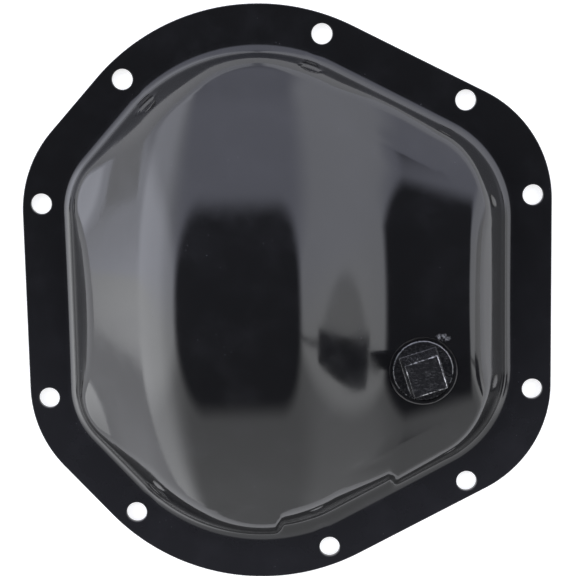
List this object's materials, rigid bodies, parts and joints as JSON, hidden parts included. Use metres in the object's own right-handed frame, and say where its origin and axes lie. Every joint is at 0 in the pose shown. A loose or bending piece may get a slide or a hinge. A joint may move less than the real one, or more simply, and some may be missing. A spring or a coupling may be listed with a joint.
{
  "type": "differential cover",
  "caption": "Domed pressed-steel rear cover for an axle housing, with a flat bolting flange, a ring gear bulge and a threaded filler plug.",
  "frame": {"origin": "middle of the flange on the gasket face, which the cover lies on", "axes": "+Z out of the dome, away from the housing; +Y up as fitted; the filler plug is towards +X"},
  "size_m": [0.2362, 0.2606, 0.053],
  "materials": {
    "black_paint": "gloss black paint",
    "boss_paint": "gloss black paint over a weld",
    "plug_steel": "black, worn to bare steel at the edges"
  },
  "bodies": {
    "root": {"stamped_cover": "black_paint", "filler_boss": "boss_paint", "filler_plug": "plug_steel"}
  },
  "joints": []
}
